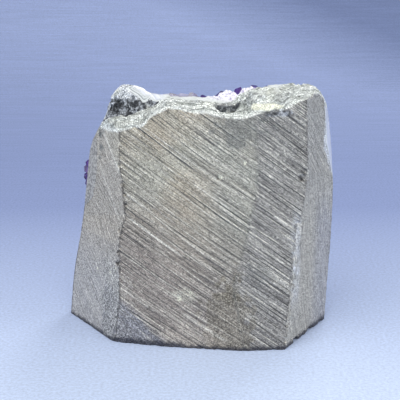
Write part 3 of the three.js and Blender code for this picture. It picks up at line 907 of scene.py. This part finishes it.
def basaltMaterial():
    material, tree, place = newMaterial("basalt, sawn and broken")
    x, _, z = parts(place)
    # the third part of the finish is painted shade
    broken, rimLight, dark = parts(painted(tree, "finish"))
    facet, facetLine, edgeGrain = parts(painted(tree, "corner"))
    patch, rightSide, foot = parts(painted(tree, "tint"))
    agateGap, polish, grime = parts(painted(tree, "skin"))
    darkSpots, paleSpots, strip = parts(painted(tree, "spots"))
    lumpCap, pit, shade = parts(painted(tree, "hollows"))
    blades = painted(tree, "marks")
    marks = effect(sawMarks, Marks=blades, Spacing=blade["spacing"], Length=blade["length"])
    fine, finest, coarse = (
        effect(grain, Place=place, Size=size, Contrast=contrast)
        for size, contrast in (stoneLook[name] for name in ("fine", "finest", "coarse"))
    )
    clouds = noise(place, 45.0, 3.0, 0.55)
    granular = between(0.42, 0.58, fine["Height"])

    # sawn faces: warm on the back, cooler on the flanks
    flank = between(0.9, 0.65, parts(blades)[2])
    warm = layered(
        stoneTones,
        laid(*stoneTones["warm"], between(0.38, 0.62, clouds)),
        greenish=between(0.5, 0.62, noise(place, 30.0), 0.0, 0.22),
        towardsRight=between(-0.01, 0.012, x, 0.0, 0.6),
        # painted shade: darker low down on the back
        lowDown=between(0.066, 0.015, x * 0.6 + z, 0.0, 0.9),
    )
    rightBack = laid(*stoneTones["rightBack"], between(0.05, 0.085, z))
    leftFlank = laid(*stoneTones["leftFlank"], between(0.02, 0.05, z))
    rightFlank = laid(*stoneTones["rightFlank"], between(0.03, 0.09, z))
    flankTone = layered(
        stoneTones,
        laid(leftFlank, rightFlank, between(-0.01, 0.01, x)),
        # painted reflection of the cloth, low on the right flank's far edge
        farRight=between(0.044, 0.051, x) * between(0.065, 0.045, z) * 0.6,
        flankGrain=granular * 0.3,
        flankSpecks=fine["Speck"] * 0.35,
    )
    quiet = 1.0 - greater(greater(facet, edgeGrain), patch) * 0.65
    sawn = laid(laid(warm, rightBack, rightSide * 0.85), flankTone, flank * 0.9)
    sawn = layered(
        stoneTones,
        sawn,
        granular,
        # painted shading: the small corner facet toned apart from the flank
        facet=facet,
        facetLine=facetLine * 0.55,
        patch=patch,
        footPale=painted(tree, "footPale", "Fac") * 0.4,
        foot=foot * 0.75,
        edgeGrain=edgeGrain * 0.6,
        strip=strip * 0.85,
        # saw marks: partly their own colour, partly painted light and shade of the grooves
        lightMarks=marks["Light"] * stoneLook["marks"] * quiet,
        darkMarks=marks["Dark"] * stoneLook["marks"] * quiet,
    )
    acrossShift, alongShift = blade["shift"]
    for face, across, start, end, width, strength in scratches:
        i = faceNumber[face]
        ends = {"Start": start + alongShift * i, "End": end + alongShift * i}
        line = effect(scratch, Marks=blades, Across=across + acrossShift * i, Width=width, **ends)["Share"]
        line = line * abs(strength)
        sawn = laid(sawn, stoneTones["lightScratch" if strength > 0 else "darkScratch"], line)
    sawn = layered(stoneTones, sawn, shade=shade)

    # the broken top: chalky green grey in layers that follow the agate
    shell = vector(agateGap * 0.9, x * 90.0, z * 260.0)
    cracks = abs(noise(shell, 1.7, 3.0, 0.6) - 0.5)
    chalk = layered(
        stoneTones,
        laid(*stoneTones["chalk"], between(0.4, 0.56, noise(shell, 1.0, 4.0, 0.65))),
        creamy=between(0.45, 0.62, clouds) * between(0.0, 0.02, x, 0.15, 0.5),
        chalkSpecks=coarse["Speck"] * 0.3,
        crack=between(0.026, 0.008, cracks) * 0.75,
        chalkLeft=between(0.008, -0.02, x, 0.0, 0.3),
        chalkRight=between(0.018, 0.03, x, 0.0, 0.25),
    )
    colour = layered(stoneTones, laid(sawn, chalk, broken), rimLight=rimLight * 0.85)
    capLines = noise(vector(clouds * 0.8 + agateGap), 2.8)
    # painted shade in the pit and under the cream chip, and darker along the lump's wall
    colour = layered(stoneTones, colour, between(0.42, 0.64, coarse["Height"]), hollow=dark * 0.95)
    colour = layered(stoneTones, colour, between(0.4, 0.62, coarse["Height"]), pit=pit)
    colour = layered(stoneTones, colour, between(0.42, 0.5, capLines), lumpCap=lumpCap)
    # the stone's own spots and polish, and painted contact shade along the foot
    colour = layered(
        stoneTones,
        colour,
        paleSpots=paleSpots * 0.85,
        darkSpots=darkSpots * 0.9,
        grime=grime * 0.85,
        polish=polish,
    )
    finestShade = finest["Shade"] ** (flank * stoneLook["flankGrain"] + 1.0)
    colour = shaded(colour, fine["Shade"] * coarse["Shade"] * finestShade)
    values = {
        "Base Color": colour,
        "Roughness": between(0.0, 1.0, polish, *stoneLook["roughness"]),
        "Normal": bumped(marks["Height"] * 0.8 + fine["Height"] * 0.9, 1.0, stoneLook["relief"]),
        "Specular IOR Level": stoneLook["specular"],
    }
    finishMaterial(put("BsdfPrincipled", values))
    return material


def placed(piece, nodeName, slot, material):  # gives a piece its material and its place in the frame
    piece.data.materials.clear()
    piece.data.materials.append(material)
    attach(piece, "root")
    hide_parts(nodeName)
    print(slot, "finished:", triangleCount(piece.data), "triangles")


placed(basalt, "basalt_matrix", "basalt", basaltMaterial())

crust = {
    "sites": 9000,  # places tried for small crystals
    "radius": (0.75, 2.3),
    "spacing": 0.72,  # of the sum of two neighbours' radii
    "tilt": 0.4,
    "rise": (0.25, 0.9),  # shoulder over the wall, as a share of the radius
    "root": 1.6,
    "tip": 1.15,  # height over the shoulder, as a share of the radius
    "tipSlope": 50,  # degrees
    "forms": 20,
    "wall": (1.2, 3.7),  # how far the bare wall between the large crystals lies from the agate
    "flank": 8,  # small crystals grow on the large ones up to here
    "left": -45.6,  # crystals reach no further
    "crest": 30,
    "crestAcross": (0.5, 25),
    "crestBack": (8.2, 13),
    "crestDrop": 2.6,  # how far the tips stay under the highest ones
    "crestTilt": [(-1.3, 1.3), (-0.6, 1)],
    "crestRadius": (0.8, 2.9),
    "crestRoot": 2.6,
    "crestGrowth": 6,  # how violet those on the crest are, beside the others
    "overTop": (18, [("z", 94.5, 96), ("x", 0, 2)]),  # least growth over the broken top, and where that is
    "pastLeft": (20, [("x", -44, -46), ("z", 50, 55)]),  # the same past the left corner
}
# highest tips along the broken top edge, by place across
tipsAcross = [-60, -26, -14, -6, 1.6, 4, 6.4, 8.2, 11.2, 13.6, 15.4, 16.7, 18.4, 20.8, 23.2, 26, 34, 60]
tipsHeight = [70, 88, 96, 97.2, 97, 95.8, 96.8, 98.6, 98, 98.2, 98.8, 100.4, 99.4, 99.2, 98.6, 98.4, 96, 80]


def quartzForm(random):  # corners of a crystal of radius 1 with its shoulder at height 0
    slope = math.tan(math.radians(crust["tipSlope"]))
    long = math.hypot(slope, 1)
    planes = [(0, 0, -1, 1)]
    small = random.uniform(1.02, 1.25)
    for side in range(6):
        angle = side * math.pi / 3
        x, y = math.cos(angle), math.sin(angle)
        planes.append((x, y, 0, random.uniform(0.84, 1)))
        height = slope * (small if side % 2 else 1) * random.uniform(0.93, 1.07)
        planes.append((slope * x / long, slope * y / long, 1 / long, height / long))
    planes = np.array(planes)
    count = len(planes)
    trios = np.array([(i, j, k) for i in range(count) for j in range(i) for k in range(j)])
    systems = planes[trios]
    solvable = np.abs(np.linalg.det(systems[:, :, :3])) > 1e-5
    corners = np.linalg.solve(systems[solvable, :, :3], systems[solvable, :, 3:])[:, :, 0]
    inside = (corners @ planes[:, :3].T <= planes[:, 3] + 1e-6).all(1)
    return np.unique(corners[inside].round(5), axis=0)


def hull(corners):
    solid = bmesh.new()
    for corner in corners:
        solid.verts.new(corner)
    made = bmesh.ops.convex_hull(solid, input=solid.verts)
    bmesh.ops.delete(solid, geom=list({*made["geom_interior"], *made["geom_unused"]}), context="VERTS")
    solid.verts.index_update()
    places = np.array([v.co[:] for v in solid.verts])
    faces = np.array([[v.index for v in f.verts] for f in solid.faces])
    solid.free()
    return places, faces


def turned(ways, twists):  # one turning matrix for each way, which carries +Z onto it
    helper = np.where(np.abs(ways[:, 2:]) > 0.9, [[1.0, 0, 0]], [[0, 0, 1.0]])
    side = unit(np.cross(helper, ways))
    other = np.cross(ways, side)
    c, s = np.cos(twists)[:, None], np.sin(twists)[:, None]
    return np.stack([side * c + other * s, other * c - side * s, ways], axis=2)


def smallCrystals(random):  # where the wall between the large crystals is bare
    share = crustSolid.areas / crustSolid.areas.sum()
    picked = random.choice(len(share), crust["sites"], p=share)
    a, b = random.random((2, crust["sites"]))[:, :, None]
    a, b = np.where(a + b > 1, 1 - a, a), np.where(a + b > 1, 1 - b, b)
    corners = crustSolid.places[np.array([crustSolid.faces[i] for i in picked])]
    first, second, third = corners.swapaxes(0, 1)
    feet = first + a * (second - first) + b * (third - first)
    _, _, depth = agateSolid.nearest(feet)
    least, most = crust["radius"]
    sizes = least + random.uniform(0, 1, len(feet)) ** 1.6 * (most - least)
    wallStart, wallEnd = crust["wall"]
    onWall = (depth > wallStart) & (depth < wallEnd)
    onFlank = (depth >= wallEnd) & (depth < crust["flank"]) & (random.random(len(feet)) < 0.3)
    sizes = np.where(onFlank, sizes * 0.5, sizes)
    ways = unit(crustSolid.normals[picked] + random.uniform(-1, 1, (len(feet), 3)) * crust["tilt"])
    rises = random.uniform(*crust["rise"], len(feet)) * sizes
    tips = feet + ways * (rises + sizes * crust["tip"])[:, None]
    wanted = (onWall | onFlank) & (frontGap(tips) > 0.5) & (tips[:, 0] - sizes > crust["left"])
    wanted &= (tips[:, 2] < np.interp(tips[:, 0], tipsAcross, tipsHeight)) & (frontGap(feet) > 1.2)
    kept = []
    near = seeker(feet)
    taken = np.zeros(len(feet), bool)
    for i in np.argsort(-sizes):
        if not wanted[i]:
            continue
        close = near.find_range(feet[i], 2 * most)
        if any(taken[j] and gap < crust["spacing"] * (sizes[i] + sizes[j]) for _, j, gap in close):
            continue
        taken[i] = True
        kept.append(i)
    shoulders = feet[kept] + ways[kept] * rises[kept, None]
    return shoulders, ways[kept], sizes[kept], np.full(len(kept), crust["root"])


def crestCrystals(random):  # those that show over the broken top
    count = crust["crest"]
    across, back = (random.uniform(*crust[name], count) for name in ("crestAcross", "crestBack"))
    above = np.interp(across, tipsAcross, tipsHeight) - random.uniform(0, crust["crestDrop"], count)
    sizes = random.uniform(*crust["crestRadius"], count)
    ways = [random.uniform(*ends, count) for ends in crust["crestTilt"]]
    ways = unit(np.stack([*ways, np.ones(count)], axis=1))
    tips = np.stack([across, back, above], axis=1)
    return tips - ways * (crust["tip"] * sizes)[:, None], ways, sizes, np.full(count, crust["crestRoot"])


def apart(places, sizes):  # sorts the crystals into rounds in which none touches another
    rounds = []
    for i, (place, size) in enumerate(zip(places, sizes)):
        for members in rounds:
            if (np.linalg.norm(places[members] - place, axis=1) > 2.0 * (sizes[members] + size)).all():
                members.append(i)
                break
        else:
            rounds.append([i])
    return rounds


def grownCrust():
    random = np.random.default_rng(5)
    forms = [hull(quartzForm(random)) for _ in range(crust["forms"])]
    crystals = zip(smallCrystals(random), crestCrystals(random))
    shoulders, ways, sizes, roots = (np.concatenate(both) for both in crystals)
    turns = turned(ways, random.uniform(0, math.pi, len(ways)))
    which = random.integers(len(forms), size=len(ways))
    piece = newPiece("amethystCrystals", welded("amethyst_crust"))
    rounds = apart(shoulders, sizes)
    for members in rounds:
        places, faces, count = [], [], 0
        for i in members:
            form, formFaces = forms[which[i]]
            form = form * sizes[i]
            form[:, 2] = np.where(form[:, 2] < 0, form[:, 2] - roots[i], form[:, 2])
            places.append(form @ turns[i].T + shoulders[i])
            faces.append(formFaces + count)
            count += len(form)
        mesh = bpy.data.meshes.new("smallCrystals")
        mesh.from_pydata((np.concatenate(places) * mm).tolist(), [], np.concatenate(faces).tolist())
        layer = newPiece("smallCrystals", mesh)
        join = piece.modifiers.new("grown together", "BOOLEAN")
        join.operation = "UNION"
        join.solver = "MANIFOLD"
        join.object = layer
        baked(piece)
        bpy.data.objects.remove(layer)
    print("crystals grown:", len(sizes), "in", len(rounds), "rounds")
    places = placesOf(piece.data)
    _, _, growth = agateSolid.nearest(places)
    own, gap = nearestPoint(seeker(shoulders), places)
    onForm = gap < 1.7 * sizes[own]
    onCrest = onForm & (own >= len(sizes) - crust["crest"])
    growth = np.where(onCrest, growth * crust["crestGrowth"], growth)
    for least, spans in crust["overTop"], crust["pastLeft"]:
        growth = np.maximum(growth, least * region(places, spans))
    paint(piece.data, "growth", growth)
    paint(piece.data, "depth", np.where(onForm, random.random(len(sizes))[own] ** 1.5, 0.6))
    return piece


crystalTones = {
    "root": (252, 249, 255),
    "tip": (154, 112, 212),
    "deep": (96, 72, 146),
}
crystalLook = {
    "tip": (5.5, 14.0),  # growth at which each tone begins and is full
    "deep": (16.0, 26.0),
    "roughness": (0.03, 0.16),
    "relief": 0.05,
    "ior": 1.544,
    "transmission": 0.7,
    "absorbed": (0.5, 0.2, 0.75, 1),
    "density": 110.0,
}


def amethystMaterial():
    material, tree, place = newMaterial("amethyst crystal")
    clouds = noise(place, 160.0)
    grown = painted(tree, "depth", "Fac") * 6.0 + clouds * 4.0 + painted(tree, "growth", "Fac") - 2.0
    shares = {name: between(*crystalLook[name], grown) for name in ("tip", "deep")}
    values = {
        "Base Color": layered(crystalTones, crystalTones["root"], **shares),
        "Roughness": between(0.0, 1.0, clouds, *crystalLook["roughness"], "LINEAR"),
        "Normal": bumped(noise(place, 900.0), 0.25, crystalLook["relief"]),
        "IOR": crystalLook["ior"],
        "Transmission Weight": crystalLook["transmission"],
    }
    inside = {"Color": crystalLook["absorbed"], "Density": crystalLook["density"]}
    finishMaterial(put("BsdfPrincipled", values), put("VolumeAbsorption", inside, tree))
    return material


placed(grownCrust(), "amethyst_crust", "amethyst", amethystMaterial())

lining = {
    "voxel": 0.42,
    "triangles": 120000,
    "overlap": 0.4,  # the agate reaches this far into the crystals' roots
    "brokenRounds": 12,
    "brokenDepth": 0.4,
    "quartzDepth": (0.9, 0.3),  # of the crags and the lumps on the white domes
    # where each surface starts and where it is full, along x and z
    "lump": [("z", 90, 93), ("x", -12, -17)],
    "rind": [("x", -38, -41), ("z", 88, 84)],
    "skins": [("z", 84, 88), ("x", -14, -17)],
    "brokenTop": [("z", 86, 90), ("x", -19, -15)],
}


def agateGaps(mesh):  # each vertex, its normal on the solid, and its way to the other two solids
    places = placesOf(mesh)
    _, faces, _ = agateSolid.nearest(places)
    return places, agateSolid.normals[faces], basaltSolid.nearest(places), crustSolid.nearest(places)


def agatePolish(places, looks):  # 1 on the polished front and its rounded rim, 0 where the stone broke
    front = ramp(9, 6, frontGap(places))
    top = ramp(0.2, 0.5, looks[:, 2]) * region(places, lining["brokenTop"])
    return np.clip(np.maximum(front, ramp(0.4, 0.1, np.abs(looks[:, 2]))) * (1 - top), 0, 1)


def carvedAgate():
    piece = finePiece("agateLining", "agate_lining", lining["voxel"])
    mesh = piece.data
    places, looks, (toBasalt, _, basaltGap), (toCrust, _, crustGap) = agateGaps(mesh)
    free = ramp(0.25, 0.7, basaltGap) * ramp(0.25, 0.7, crustGap)
    broken = (1 - agatePolish(places, looks)) * free
    places = evened(mesh, places, broken * 0.9, lining["brokenRounds"])
    rough = 0.5 * softNoise(places, 3.6, 21) + 0.4 * softNoise(places, 1.4, 22)
    rough += 0.2 * softNoise(places, 0.7, 23)
    places = places + looks * ((rough - 0.3) * lining["brokenDepth"] * broken)[:, None]
    meetBasalt = (1 - ramp(0.3, 0.5, basaltGap)) * rock["join"]
    places = places + (toBasalt - places) * meetBasalt[:, None]
    meetCrust = 1 - ramp(0.33, 0.6, crustGap)
    into = (toCrust - places) / np.maximum(crustGap, 0.05)[:, None]
    places = places + into * (lining["overlap"] * meetCrust)[:, None]
    lift = crestLift(places)
    quartz = ramp(0.3, 1.2, lift)
    crags, lumps = lining["quartzDepth"]
    rough = crags * (ridges(places, 2.1, 25) - 0.4) + lumps * softNoise(places, 0.9, 26)
    places[:, 2] += lift + quartz * rough
    setPlaces(mesh, np.clip(places, cadLow, cadHigh))
    paint(mesh, "quartz", quartz)
    mesh = thinned(piece, lining["triangles"])
    mesh.shade_smooth()
    places, looks, (_, _, basaltGap), (_, _, crustGap) = agateGaps(mesh)
    lump = region(places, lining["lump"]) * ramp(1.4, 2.0, basaltGap)
    paint(mesh, "bands", crustGap, basaltGap, np.maximum(agatePolish(places, looks), lump))
    paint(mesh, "rind", region(places, lining["rind"]) * ramp(3, 6, frontGap(places)))
    skins = ramp(2.3, 1.7, basaltGap + 0.3 * softNoise(places, 2, 24)) * ramp(4.5, 6, frontGap(places))
    paint(mesh, "skins", skins * region(places, lining["skins"]))
    return piece


agateTones = {
    "bands": ((212, 217, 227), (250, 251, 253)),
    "darkBands": (150, 158, 176),
    "outside": (150, 158, 152),
    "chalk": ((204, 209, 204), (226, 229, 226)),
    "skins": ((104, 110, 114), (226, 230, 230)),
    "quartz": ((188, 176, 212), (252, 250, 255)),
    "rind": ((126, 125, 124), (182, 180, 176)),
}
agateLook = {
    "grain": (1.0, 0.08),  # size and contrast
    "roughness": (0.12, 0.8),  # polished and raw
    "relief": 0.15,
    "ior": 1.54,
}


def agateMaterial():
    material, tree, place = newMaterial("agate, banded")
    inward, outward, polish = parts(painted(tree, "bands"))
    rind, skins, quartz = (painted(tree, name, "Fac") for name in ("rind", "skins", "quartz"))
    drift = noise(place, 110.0)
    stripes = noise(vector(drift * 1.2 + inward), 1.6, 4.0, 0.75)
    size, contrast = agateLook["grain"]
    grainy = effect(grain, Place=place, Size=size, Contrast=contrast)
    banded = layered(
        agateTones,
        laid(*agateTones["bands"], between(0.4, 0.6, stripes)),
        darkBands=between(0.36, 0.3, stripes) * 0.6,
        outside=between(0.5, 0.25, outward) * 0.6,
    )
    chalk = laid(*agateTones["chalk"], between(0.4, 0.6, drift))
    skinLines = noise(vector(drift * 0.5 + outward), 2.6)
    colour = laid(chalk, banded, polish)
    colour = layered(agateTones, colour, between(0.42, 0.5, skinLines), skins=skins)
    colour = layered(agateTones, colour, between(0.35, 0.5, grainy["Height"]), quartz=quartz)
    colour = layered(agateTones, colour, between(0.35, 0.65, grainy["Height"]), rind=rind)
    rawness = greater(1.0 - polish, rind)
    values = {
        "Base Color": laid(colour, shaded(colour, grainy["Shade"]), rawness),
        "Roughness": between(0.0, 1.0, rawness, *agateLook["roughness"]),
        "Normal": bumped(grainy["Height"] * rawness, 0.6, agateLook["relief"]),
        "IOR": agateLook["ior"],
    }
    finishMaterial(put("BsdfPrincipled", values))
    return material


placed(carvedAgate(), "agate_lining", "agate", agateMaterial())

studio = {
    "cloth": (218, 232, 255),  # near the stone
    "far": ((-0.11, 0.18), (147, 161, 201)),  # painted shade: from where to where back the cloth turns to this darker tone
    # painted light: higher up the sweep the cloth turns lighter again
    "upper": ((0.3, 0.68), (170, 184, 222)),
    "corner": ((0.71, 0.93), (126, 140, 178)),  # painted shade, darker up and to the right
    "sweepStart": 0.45,  # behind the middle of the stone, metres
    "sweepRadius": 0.6,
    "sweepSteps": 24,
    "reach": 2.4,
    "roughness": 0.95,
    "sky": (0.9, 0.94, 1.0),
    "skyStrength": 0.45,
}
# lights: place, aimed at, size, watts, colour
lights = {
    "overhead, towards the front": (
        (-0.12, -0.5, 0.78),
        (0, -0.06, 0.03),
        (0.9, 0.6),
        4.9,
        (0.99, 0.98, 0.96),
    ),
    "left": ((-1.0, -0.25, 0.4), (0, 0, 0.05), (0.8, 0.7), 2.4, (0.95, 0.97, 1)),
    "right": ((1.0, -0.3, 0.4), (0, 0, 0.05), (0.8, 0.7), 3.2, (0.96, 0.98, 1)),
    "behind, for the crystals": ((0.25, 0.5, 0.7), (0, 0, 0.06), (0.3, 0.2), 1.9, (1, 1, 1)),
}


def clothMaterial():
    material, _, place = newMaterial("pale cloth")
    x, y, z = parts(place)
    weave = effect(grain, Place=place, Size=1.3, Contrast=0.13)
    drawn = put("VectorMath", {0: place, 1: (0.05, 1, 1)}, operation="MULTIPLY")
    threads = effect(grain, Place=drawn, Size=3.0, Contrast=0.07)
    colour = studio["cloth"]
    # painted light and shade: the cloth darkens towards the back, lightens higher on the sweep and darkens
    # to the upper right
    for name, value in ("far", y), ("upper", y), ("corner", x * 1.2 + (y + z)):
        ends, cloth = studio[name]
        colour = laid(colour, cloth, between(*ends, value, step="LINEAR"))
    colour = shaded(colour, weave["Shade"] * threads["Shade"] ** between(0.1, 0.4, y))
    finishMaterial(put("BsdfPrincipled", {"Base Color": colour, "Roughness": studio["roughness"]}))
    return material


def studioFloor():
    start, radius, reach = studio["sweepStart"], studio["sweepRadius"], studio["reach"]
    outline = [(-reach, 0.0), (start, 0.0)]
    for k in range(1, studio["sweepSteps"] + 1):
        turn = math.radians(90 * k / studio["sweepSteps"])
        outline.append((start + radius * math.sin(turn), radius * (1 - math.cos(turn))))
    outline.append((outline[-1][0], reach))
    places = [(x, y, z) for y, z in outline for x in (-reach, reach)]
    faces = [(2 * i, 2 * i + 1, 2 * i + 3, 2 * i + 2) for i in range(len(outline) - 1)]
    mesh = bpy.data.meshes.new("floor")
    mesh.from_pydata(places, [], faces)
    mesh.shade_smooth()
    floor = newPiece("floor", mesh)
    mesh.materials.append(clothMaterial())
    floor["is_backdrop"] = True


def softLight(name, place, aim, size, watts, colour):
    lamp = bpy.data.lights.new(name, "AREA")
    lamp.shape = "RECTANGLE"
    lamp.size, lamp.size_y = size
    lamp.energy = watts
    lamp.color = colour
    light = newPiece(name, lamp)
    light.location = place
    light.rotation_euler = (Vector(aim) - Vector(place)).to_track_quat("-Z", "Y").to_euler()


studioFloor()
world = bpy.data.worlds.new("soft sky")
world.use_nodes = True
sky = world.node_tree.nodes["Background"].inputs
sky[0].default_value = (*studio["sky"], 1)
sky[1].default_value = studio["skyStrength"]
bpy.context.scene.world = world
bpy.context.scene.view_settings.view_transform = "Standard"
for name, values in lights.items():
    softLight(name, *values)
print("studio set")
